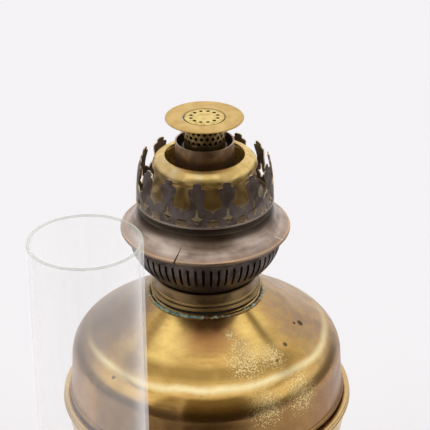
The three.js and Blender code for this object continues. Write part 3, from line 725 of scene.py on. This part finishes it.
iron = metal("cast iron", (0.10, 0.10, 0.105), (0.06, 0.05, 0.05), None, (0.6, 0.8))


def wick_cotton():
    """Woven cotton, burnt black at the top."""
    n = Nodes("wick cotton")
    weave = n.noise(n.coordinates, 900, 4, 0.6)
    burnt = n.spread(n.more(n.polar()[2], weave, 6.0), 240, 250)
    thread = n.mix(weave, (0.62, 0.56, 0.45), (0.34, 0.29, 0.22))
    colour = n.over(thread, (0.012, 0.010, 0.009), burnt)
    return n.finish(Base_Color=colour, Roughness=0.95, Normal=n.bump(weave, 0.3))


def crumbly(name, light, dark, roughness, scale, detail, depth):
    """A matt material with a fine random grain."""
    n = Nodes(name)
    grain = n.noise(n.coordinates, scale, detail, 0.7)
    return n.finish(Base_Color=n.mix(grain, light, dark), Roughness=roughness, Normal=n.bump(grain, depth))


cotton = wick_cotton()
felt = crumbly("pressed felt", (0.05, 0.10, 0.06), (0.02, 0.05, 0.03), 1, 700, 6, 0.3)
cork = crumbly("cork gasket", (0.05, 0.045, 0.035), (0.015, 0.015, 0.012), 0.9, 500, 5, 0.2)


def clear_glass(name, face, tint, through, edge, glow):
    """Thin clear glass: nearly invisible face on, paler and denser where it is seen edge on. Its faint white
    glow and the grey it turns to at the edges are painted reflection.
    """
    n = Nodes(name)
    facing = n.add("ShaderNodeLayerWeight", {"Blend": 0.35}).outputs["Facing"]
    dust = n.noise(n.coordinates, 26, 5, 0.65)
    streak = n.noise(n.vector("MULTIPLY", n.coordinates, (1, 1, 0.06)), 240, 3, 0.6)
    veil = n.product(n.math("ADD", dust, streak), through)
    alpha = n.math("ADD", n.spread(facing, 0.25, 1.0, 0.0, edge), veil, clamp=True)
    ripple = n.noise(n.coordinates, 30, 2, 0.5)
    return n.finish(
        Base_Color=n.mix(n.spread(facing, 0.45, 0.95), face, tint),
        Roughness=0.04,
        IOR=1.46,
        Alpha=alpha,
        # Painted light: the glass glows faintly white.
        Emission_Color=(*WHITE_GLOW, 1),
        Emission_Strength=glow,
        Normal=n.bump(ripple, 0.6, 0.2),
    )


glass = clear_glass("lamp glass", WHITE_GLOW, (0.50, 0.49, 0.50), 0.068, 0.36, 0.32)
glass_rim = clear_glass("glass rim", (0.66, 0.72, 0.58), (0.50, 0.55, 0.44), 0.42, 0.3, 0.1)

# ---------------------------------------------------------------- base
BOWL = smooth(
    [
        (3.6, 55.8), (20, 56.1), (33, 58.2), (47, 62.6), (58, 69.2), (67, 78), (72.6, 89), (75, 100),
        (HOLDER_WALL_R, 107.4),
    ],
    6,
)
bowl_inside = [(74.4, 107.6), (72.6, 95), (66, 78.8), (57.4, 70.2), (46.6, 63.6), (33, 59.3), (3.6, 57.0)]
ring = [
    (75.8, 108.4),
    *arc(76.4, 110.4, 1.5, -75, 50, 8),
    (76.7, 111.9),
    *arc(76.3, 112.6, 1.25, -20, 90, 8),
    (74.6, 113.8),
    (73.4, 113.2),
    (73.4, 109),
]
lathe(
    "holder_bowl_brass", [*BOWL, *ring, *bowl_inside], "base", holder_metal,
    ["holder_bowl"], segments=200,
)
STEM = smooth(
    [
        (19, 27.3), (19, 28.8), (12.5, 31.2), (11.4, 33), (15.6, 35.2), (16.2, 37), (14.6, 39.4),
        (9.8, 43), (9.4, 45.6), (11.6, 49.6), (17, 52.2), (22.6, 53.4),
    ],
    6,
)
lathe(
    "stem_brass", [(3.5, 27.3), *STEM, *arc(22.6, 54.4, 1.0, -80, 85, 6), (3.5, 55.5)], "base",
    dull_brass, ["stem"], segments=96,
)
FLARE = smooth([(68.6, 5.4), (64.5, 8.2), (56, 12.4), (44, 18.2), (31, 23.2), (21, 25.6), (17.5, 26.2)], 6)
foot_outside = [(68.6, 1.8), *arc(69, 3.4, 1.0, -70, 80, 8), *FLARE, (12, 26.4), (3.6, 26.4)]
lathe("foot_shell_brass", sheet(foot_outside, 0.9), "base", holder_metal, ["foot_shell"])
pad = fillet([(0, 0), (66, 0, 0.4), (66, 1.4, 0.5), (0, 1.4)])
lathe("felt_pad_green", pad, "base", felt, ["felt_pad"], segments=96)

# ---------------------------------------------------------------- font
# The shoulder: a bead, a slightly tapering wall, a round shoulder and the cone up to the neck.
cone_angle = math.degrees(math.atan(CONE_DROP))
arc_r = FONT_WALL_R - FONT_SHOULDER_R
cone_end = arc_r + FONT_SHOULDER_R * math.cos(math.radians(90 - cone_angle))
cone_end_z = CONE_TOP_Z - CONE_DROP * (cone_end - CONE_TOP_R)
arc_z = cone_end_z - FONT_SHOULDER_R * math.sin(math.radians(90 - cone_angle))
wall = np.linspace((FONT_WALL_R + 1.1, FONT_FOOT_Z), (FONT_WALL_R, arc_z), 9)
cone = np.linspace((cone_end, cone_end_z), (28.0, cone_end_z + CONE_DROP * (cone_end - 28.0)), 13)
shoulder = [
    *arc(73.0, 115.75, 1.3, -90, 65, 8),
    (73.2, 117.4),
    *map(tuple, wall.tolist()),
    *arc(arc_r, arc_z, FONT_SHOULDER_R, 0, 90 - cone_angle, 24)[1:],
    *map(tuple, cone[1:].tolist()),
]
lathe(
    "font_shoulder_brass", sheet(shoulder, 0.8), "font", font_metal,
    ["font_shoulder"], segments=256,
)
neck = fillet(
    [
        (25.2, 164), (26.5, 164), (26.5, 171.9), (30.6, 171.8, 0.4), (31.2, 172.5, 0.5),
        (30.8, 173.5, 0.4), (29.8, 173.6, 0.3), (28.6, 173.1), (25.2, 173.1),
    ]
)
lathe("font_collar_ring", neck, "font", neck_brass, ["font_collar"])
gasket = fillet([(25.3, 173.4), (28.2, 173.4, 0.3), (28.2, 174.7, 0.3), (25.3, 174.7)])
lathe("cork_gasket", gasket, "gasket", cork, ["burner_gasket"])
TANK = smooth([(30, 61.8), (50, 67.5), (63, 77.5), (69.6, 90), (TANK_R, 103)], 6)
tank_inside = [(r - 0.64, z + 0.64) for r, z in reversed(TANK)]
tank_rim = [(TANK_R, TANK_TOP_Z - 0.6), (TANK_R - 0.2, TANK_TOP_Z - 0.1), (TANK_R - 0.8, TANK_TOP_Z)]
tank = [(0, TANK_FLOOR_Z), *TANK, *tank_rim, *tank_inside, (0, TANK_FLOOR_Z + 0.8)]
lathe("font_tank_brass", tank, "font", tank_metal, ["font_tank"])

# ---------------------------------------------------------------- burner
collar = fillet(
    [
        (24, 166.5), (24.9, 166.5), (24.9, COLLAR_Z), (28.2, COLLAR_Z, 0.3), (29.1, 175.5, 0.5),
        (29.0, 176.8, 0.5), (28.2, 177.4, 0.3), (27.6, 177.6, 0.3), (27.7, 178.6, 0.3),
        (27.1, 179.0, 0.3), (27.0, 183.6, 0.3), (27.2, 184.2, 0.3), (26.6, 184.5, 0.2), (24, 184.5),
    ]
)
lathe("burner_collar_brass", collar, "burner", collar_brass, ["burner_collar"])

BASKET = smooth(
    [
        (25.3, 185.0), (26.4, 185.2), (27.6, 186.2), (32.2, 190.4), (36.2, 195.4), (38.6, 200.6),
        (39.4, 206), (39.6, 210), (39.6, BASKET_TOP_Z),
    ],
    8,
)
SLOTS = 62
SLOT_BOTTOM, SLOT_TOP = 13.6, 26.0  # along the basket's profile
SLOT_HALF = 0.66
SLOT_TURN = 4.39  # degrees from the front to the middle of a slot
basket_length = along(BASKET)[1]
slot_width = TURN * 37.4 / SLOTS
slot = [
    *arc(slot_width / 2, SLOT_BOTTOM + SLOT_HALF, SLOT_HALF, 180, 360, 6),
    *arc(slot_width / 2, SLOT_TOP - SLOT_HALF, SLOT_HALF, 0, 180, 6),
]
basket = repeated(flat_mesh(window(0, slot_width, 0, basket_length), [slot], 0.95), SLOTS, slot_width)
rolled(
    "air_basket_slotted", basket, SLOTS * slot_width, BASKET, 0.8, "burner",
    [dark_bronze, dark_bronze], ["air_basket"], turn=SLOT_TURN - 180 / SLOTS,
)

# The tube's strip starts at the back, so the draught window at the front is in its middle, and the two
# slots for the spur wheels are a quarter of the way along.
tube_length = TURN * TUBE_R
wheel_off = TUBE_R * math.asin(4 / TUBE_R)
tube_holes = [window(tube_length / 2 - 4.6, tube_length / 2 + 4.6, 193.7, 204.3)]
for off in (-wheel_off, wheel_off):
    middle = tube_length / 4 + off
    tube_holes.append(window(middle - 1.4, middle + 1.4, 186.8, 197.2))
tube_flat = flat_mesh(
    window(0, tube_length, 0, TUBE_TOP_Z - TUBE_FOOT_Z),
    [[(x, z - TUBE_FOOT_Z) for x, z in hole] for hole in tube_holes],
    1.3,
)
rolled(
    "outer_wick_tube_bronze", repeated(tube_flat, 1, tube_length), tube_length,
    [(TUBE_R, TUBE_FOOT_Z), (TUBE_R, TUBE_TOP_Z)], 0.8, "burner",
    [tube_bronze, tube_rim], ["outer_wick_tube"], turn=180,
)

# ---------------------------------------------------------------- gallery
SEAT = [
    (21.2, SEAT_Z),
    (34.3, SEAT_Z),
    *arc(34.75, SEAT_Z, 0.75, 95, -80, 8),
    (34.6, 226.0),
    *arc(34.5, 225.35, 0.55, 70, -80, 6),
    (34.3, 224.4),
    (34.35, 223.4),
]
SKIRT = smooth(
    [
        (34.9, 223.0), (35.35, 221.8), (36.2, 219.3), (37.6, 216.8), (39.4, 214.8), (41.4, 213.3),
        (42.6, 212.5),
    ],
    6,
)
SKIRT_UNDER = smooth(
    [(41.6, 211.7), (39.4, 213.5), (37.3, 215.8), (35.7, 218.6), (34.9, 221.2), (34.0, 222.4)], 5
)
rim = arc(RIM_R, RIM_Z, 1.1, 80, -150, 14)
flange = lathe(
    "gallery_flange_bronze", [*SEAT, *SKIRT, *rim, *SKIRT_UNDER, (33.8, 226.0), (21.2, 226.0)],
    "gallery", flange_bronze, ["gallery_flange"], segments=240,
)


def split_sheet(obj, path, low, high):
    """Cuts a tapering upright crack through a sheet. path lists (radius, degrees, width)."""
    verts, count = [], len(path)
    for z in (low, high):
        for sign in (-1, 1):
            for radius, degrees, width in path:
                a = math.radians(degrees) + sign * width / 2 / radius
                verts.append((radius * math.sin(a) * MM, -radius * math.cos(a) * MM, z * MM))

    def corner(top, side, i):
        return (2 * top + side) * count + i

    around = [(0, 0), (0, 1), (1, 1), (1, 0)]
    faces = []
    for i in range(count - 1):
        for a, b in zip(around, [*around[1:], around[0]]):
            faces.append((corner(*a, i), corner(*b, i), corner(*b, i + 1), corner(*a, i + 1)))
    for i in (0, count - 1):
        faces.append([corner(*a, i) for a in around])
    mesh = bpy.data.meshes.new("crack")
    mesh.from_pydata(verts, [], faces)
    closed(mesh)
    cutter = placed("crack", mesh)
    modifier = obj.modifiers.new("crack", "BOOLEAN")
    modifier.object = cutter
    modifier.operation = "DIFFERENCE"
    modifier.solver = "EXACT"
    bpy.context.view_layer.update()
    result = bpy.data.meshes.new_from_object(obj.evaluated_get(bpy.context.evaluated_depsgraph_get()))
    obj.modifiers.clear()
    obj.data = result
    bpy.data.objects.remove(cutter)


split_sheet(flange, [(45.5, -20.7, 1.0), (43, -20.3, 0.8), (40, -19.6, 0.5), (36.9, -18.3, 0.12)], 205, 221)

PRONGS = 14
PRONG_OFFSET = -6.5  # degrees from the front
crown_width = TURN * 35.0 / PRONGS
# The right half of the space between two prongs: a tab in the low arch, the arch, and the gap's edge.
side = [
    (0, CROWN_LOW), (0, 228.7), (0.4, 228.6), (0.8, 228.2), (1.3, 227.8), (2.0, 227.75), (2.9, 227.9),
    (3.4, 228.5), (3.5, 229.3), (3.3, 230.1), (2.8, 230.5), (2.5, 231.2), (1.9, 231.5), (1.3, 231.4),
    (0.8, 231.8), (0, 232.0), (0, 235.2), (0.4, 235.7), (1.0, 236.3), (1.7, 237.0), (2.3, 237.45),
    (3.4, 237.5), (4.0, 238.0), (4.4, 239.0), (4.55, 240.2), (4.45, 241.4), (4.2, 242.5), (3.85, 243.7),
    (3.5, 244.8), (3.3, 245.9), (3.25, 246.7), (3.4, 247.4), (3.8, 247.9), (4.5, 248.15), (5.2, 248.1),
    (5.6, 248.3), (5.65, 248.7), (5.45, 249.3), (5.6, 250.0), (6.1, 250.5), (6.8, 250.7), (7.5, 250.7),
]
crownlet = mirrored(
    [
        (0, 229.4), (0.5, 229.6), (0.9, 230.2), (1.1, 230.9), (1.6, 231.3), (2.0, 231.8), (2.9, 232.2),
        (3.0, 232.6), (2.2, 232.8), (1.5, 233.0), (1.0, 233.5), (0.7, 234.2), (0.62, 235.5),
        (0.6, 236.8), (0.4, 237.4), (0, 237.6),
    ]
)
outline = [*side[::-1], *[(crown_width - x, z) for x, z in side]]


def lowered(loop, across=0.0):
    """Moves a loop down so that the crown's foot is at 0, and to the right."""
    return [(x + across, z - CROWN_LOW) for x, z in loop]


crown_unit = flat_mesh(lowered(outline), [lowered(crownlet, crown_width / 2)], 0.8)
CROWN = smooth([(35.2, CROWN_LOW), (35.25, 232), (34.9, 238), (34.2, 244), (33.1, 249), (32.6, 251.6)], 6)
rolled(
    "gallery_crown_bronze", repeated(crown_unit, PRONGS, crown_width), PRONGS * crown_width, CROWN, 0.6,
    "gallery", [crown_bronze, worn_highlit_edge], ["gallery_crown"],
    turn=PRONG_OFFSET - 180 / PRONGS,
)

DOME = [
    *smooth([(28.1, 227.4), (27.4, 231), (26.6, 236), (26.0, 241), (25.75, 244.2)], 5)[:-1],
    *smooth(
        [
            (25.75, DOME_WAIST_Z), (26.1, 245.3), (26.75, 246.2), (26.8, 247.0), (26.3, 248.4),
            (25.2, 249.8), (23.4, 251.0), (21.6, 251.6), (20.5, 251.6),
        ],
        5,
    ),
    (20.3, 251.2),
]
lathe(
    "deflector_dome_brass", sheet(DOME, 0.7), "gallery", dome_metal,
    ["deflector_dome"], segments=200,
)
SCREEN_HOLES = 30
SCREEN_ROWS = [(3, 0), *[(2.6, 0.95)] * 6, (2.1, 0)]
screen_width = TURN * SCREEN_R / SCREEN_HOLES
rolled(
    "deflector_screen_pierced", pierced_strip(SCREEN_HOLES, screen_width, SCREEN_ROWS, 0.9),
    SCREEN_HOLES * screen_width, [(SCREEN_R, CROWN_LOW), (SCREEN_R, 248)], 0.5, "gallery",
    [screen_metal, screen_metal, screen_inside], ["deflector_screen"],
)

# ---------------------------------------------------------------- wick knob
SHAFT_X, SHAFT_Z = -18.4, 192
KNOB_Y = 51
FLUTES, FLUTE_DEPTH = 16, 0.9
FLUTE_SEGMENTS = 8
# The knob's profile round the shaft: (radius, distance outwards, share of the flutes' depth).
KNOB = [
    (1.9, 0.0, 0), (3.1, 0.0, 0), (3.4, 0.3, 0), (3.4, 2.4, 0), (3.8, 2.6, 0), (8.6, 2.6, 0.5),
    (9.5, 2.8, 1), (10.0, 3.4, 1), (10.0, 5.8, 1), (9.5, 6.4, 1), (8.6, 6.6, 0.5), (7.6, 6.6, 0),
    (7.3, 6.2, 0), (6.9, 6.05, 0), (4.6, 6.05, 0), (4.2, 6.2, 0), (3.9, 6.6, 0), (1.2, 6.6, 0),
    (1.2, 5.4, 0), (1.9, 5.4, 0),
]
around = FLUTES * FLUTE_SEGMENTS
knob_verts, knob_faces = [], []
for i, (radius, out, share) in enumerate(KNOB):
    start, above = i * around, (i + 1) % len(KNOB) * around
    for k in range(around):
        a = TURN * k / around
        r = radius - FLUTE_DEPTH * share * (0.5 - 0.5 * math.cos(FLUTES * a)) ** 2
        knob_verts.append((SHAFT_X + r * math.sin(a), KNOB_Y + out, SHAFT_Z + r * math.cos(a)))
        after = (k + 1) % around
        knob_faces.append([start + k, start + after, above + after, above + k])
piece("wick_knob_fluted", knob_verts, knob_faces, "wick_drive", [knob_metal], ["wick_knob"])

# ---------------------------------------------------------------- flame spreader
disc = fillet(
    [
        (10.4, 270.8), (11.8, 271.4), (19.7, 271.4, 0.2), (DISC_R, 271.8, 0.3), (19.6, DISC_Z, 0.3),
        (10.9, 272.15, 0.3), (10.45, 271.8, 0.2),
    ]
)
lathe(
    "flame_disc_brass", disc, "flame_spreader", disc_metal, ["flame_disc"], segments=200
)
CAP_HOLES, CAP_HOLE_RING, HOLE_R = 12, 6.95, 0.95
cap_angles = TURN * (np.arange(CAP_HOLES) + 0.5) / CAP_HOLES
cap_holes = [circle(CAP_HOLE_RING * math.sin(a), CAP_HOLE_RING * math.cos(a), HOLE_R, 14) for a in cap_angles]


def cap_place(points, inset):
    """Lays the cap flat under the disc's top, with its edge turned down a little."""
    r = np.hypot(points[:, 0], points[:, 1])
    fall = np.clip((r - 8.9) / 1.2, 0, 1) ** 2 * 0.3
    return np.stack([points[:, 0], points[:, 1], DISC_Z - fall - inset], axis=1)


cap, cap_faces, cap_marks = stamped(*flat_mesh(circle(0, 0, CAP_R, 96), cap_holes, 0.8), cap_place, 0.8)
piece(
    "spreader_cap_pierced", cap, cap_faces, "flame_spreader",
    [cap_metal, sooty_inside, sooty_inside], ["spreader_cap"], cap_marks,
)
THIMBLE_HOLES = 22
THIMBLE_ROWS = [(11.85, 0), *[(2.7, HOLE_R)] * 4, (0.35, 0)]
thimble_width = TURN * THIMBLE_R / THIMBLE_HOLES
rolled(
    "spreader_thimble_pierced", pierced_strip(THIMBLE_HOLES, thimble_width, THIMBLE_ROWS, 0.8),
    THIMBLE_HOLES * thimble_width, [(THIMBLE_R, 248), (THIMBLE_R, 271)], 0.4, "flame_spreader",
    [thimble_metal, thimble_metal, sooty_inside], ["spreader_thimble"],
)

# ---------------------------------------------------------------- chimney
BULGE = [(33.0, 22), (33.6, 27), (36.6, 37), (38.1, 46), (37.2, 54), (33.4, 64), (28.8, 74), (26.7, 82)]
glass_out = [
    *smooth([*BULGE, (GLASS_R, 92), (GLASS_R, 110)], 5),
    (GLASS_R, 160),
    (GLASS_R, 210),
    (GLASS_R, GLASS_TOP_Z - 1.4),
]
lip = GLASS_THICKNESS / 2
glass_in = [(r - GLASS_THICKNESS, z) for r, z in glass_out[-2::-1]]
glass_profile = [
    *arc(32.2, 0.8, 0.8, -90, 0, 4),
    *glass_out,
    *arc(GLASS_R - lip, GLASS_TOP_Z - lip, lip, 0, 180, 8),
    *glass_in,
    (31.4, 0.8),
]
glass_verts, glass_faces = lathe_mesh(glass_profile, 128, GLASS_CENTRE)
rim_marks = [int(min(glass_verts[i][2] for i in face) > GLASS_TOP_Z - 0.9) for face in glass_faces]
piece(
    "glass_chimney", glass_verts, glass_faces, "chimney", [glass, glass_rim],
    ["chimney"], rim_marks,
)

# ---------------------------------------------------------------- carried-over CAD nodes
CARRIED = {
    iron: ["foot_ballast"],
    steel: [
        "tie_rod", "tie_rod_nut_top", "tie_rod_nut_bottom", "wick_shaft", "spur_wheel_front",
        "spur_wheel_rear", "knob_screw",
    ],
    dull_brass: ["shaft_bushing", "shaft_bracket"],
    dark_bronze: ["burner_floor", "inner_air_tube", "inner_tube_plug", "draught_duct"],
    cotton: ["wick"],
}
for material, names in CARRIED.items():
    for name in names:
        for material_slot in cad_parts[name].material_slots:
            material_slot.material = material

# ---------------------------------------------------------------- floor
FLOOR = (-0.55, 0.55, -0.28, 6)  # left, right, front and back edges in metres
FLOOR_Z = -0.0002  # just under the felt
n = Nodes("pale floor")
floor_material = n.finish(
    Base_Color=(0.86, 0.85, 0.875, 1),
    Roughness=0.9,
    Specular_IOR_Level=0.1,
    Emission_Color=(0.98, 0.96, 1.0, 1),
    Emission_Strength=0.23,
)
floor_mesh = bpy.data.meshes.new("floor")
floor_mesh.from_pydata([(x, y, FLOOR_Z) for x, y in window(*FLOOR)], [], [(0, 1, 2, 3)])
floor_mesh.materials.append(floor_material)
floor = placed("floor", floor_mesh)

# ---------------------------------------------------------------- light
# A light tent, in degrees round from the front and up: white overhead and behind, a soft box at either
# side with dark gaps above and below, a bright strip over the front, and a dark opening at the front.
n = Nodes("studio", bpy.data.worlds, "Generated")
_, angle, z = n.polar()
rise = n.product(n.math("ARCSINE", n.product(z, MM)), 180 / math.pi)
away = n.math("ABSOLUTE", angle)
opening = n.product(n.spread(away, 40, 48, 1.0, 0.0), n.spread(rise, 52, 64, 1.0, 0.0))
below_boxes = n.product(n.spread(away, 128, 150, 1.0, 0.0), n.spread(rise, 7, 16, 1.0, 0.0))
soft_box = n.product(n.band(away, 50, 130, 8), n.band(rise, 16, 60, 6))
front_edge = n.product(n.band(rise, 62, 76, 4), n.spread(away, 85, 125, 1.0, 0.0))
gap = n.product(n.band(rise, 46, 53, 2), n.band(away, 62, 150, 10))
light = n.mix(soft_box, (1.1, 1.085, 1.09), (1.4, 1.36, 1.31))
light = n.over(light, (2.7, 2.6, 2.5), front_edge)
light = n.over(light, (0.13, 0.11, 0.09), below_boxes, 0.9)
light = n.over(light, (0.16, 0.11, 0.07), gap, 0.85)
light = n.over(light, n.mix(n.spread(rise, 0, 55), (0.075, 0.056, 0.034), (0.22, 0.175, 0.115)), opening)
seen = n.add("ShaderNodeLightPath").outputs["Is Camera Ray"]
light = n.over(light, (0.955, 0.935, 0.965), seen)
surface = n.add("ShaderNodeBackground", {"Color": light, "Strength": 1.0})
n.add("ShaderNodeOutputWorld", {"Surface": surface.outputs[0]})
bpy.context.scene.world = n.block
bpy.context.scene.view_settings.view_transform = "Standard"

# ---------------------------------------------------------------- camera
CAMERA_PLACE = (0.00503, -0.74976, 0.6044)  # metres
CAMERA_DOWN, CAMERA_ROLL = 27.349, -0.327  # degrees
camera_data = bpy.data.cameras.new("camera")
camera_data.lens = 136.7
camera_data.sensor_width = 36
camera_data.clip_end = 50
camera = placed("camera", camera_data)
camera.matrix_world = (
    Matrix.Translation(CAMERA_PLACE)
    @ Matrix.Rotation(math.radians(90 - CAMERA_DOWN), 4, "X")
    @ Matrix.Rotation(math.radians(CAMERA_ROLL), 4, "Z")
)
bpy.context.scene.camera = camera
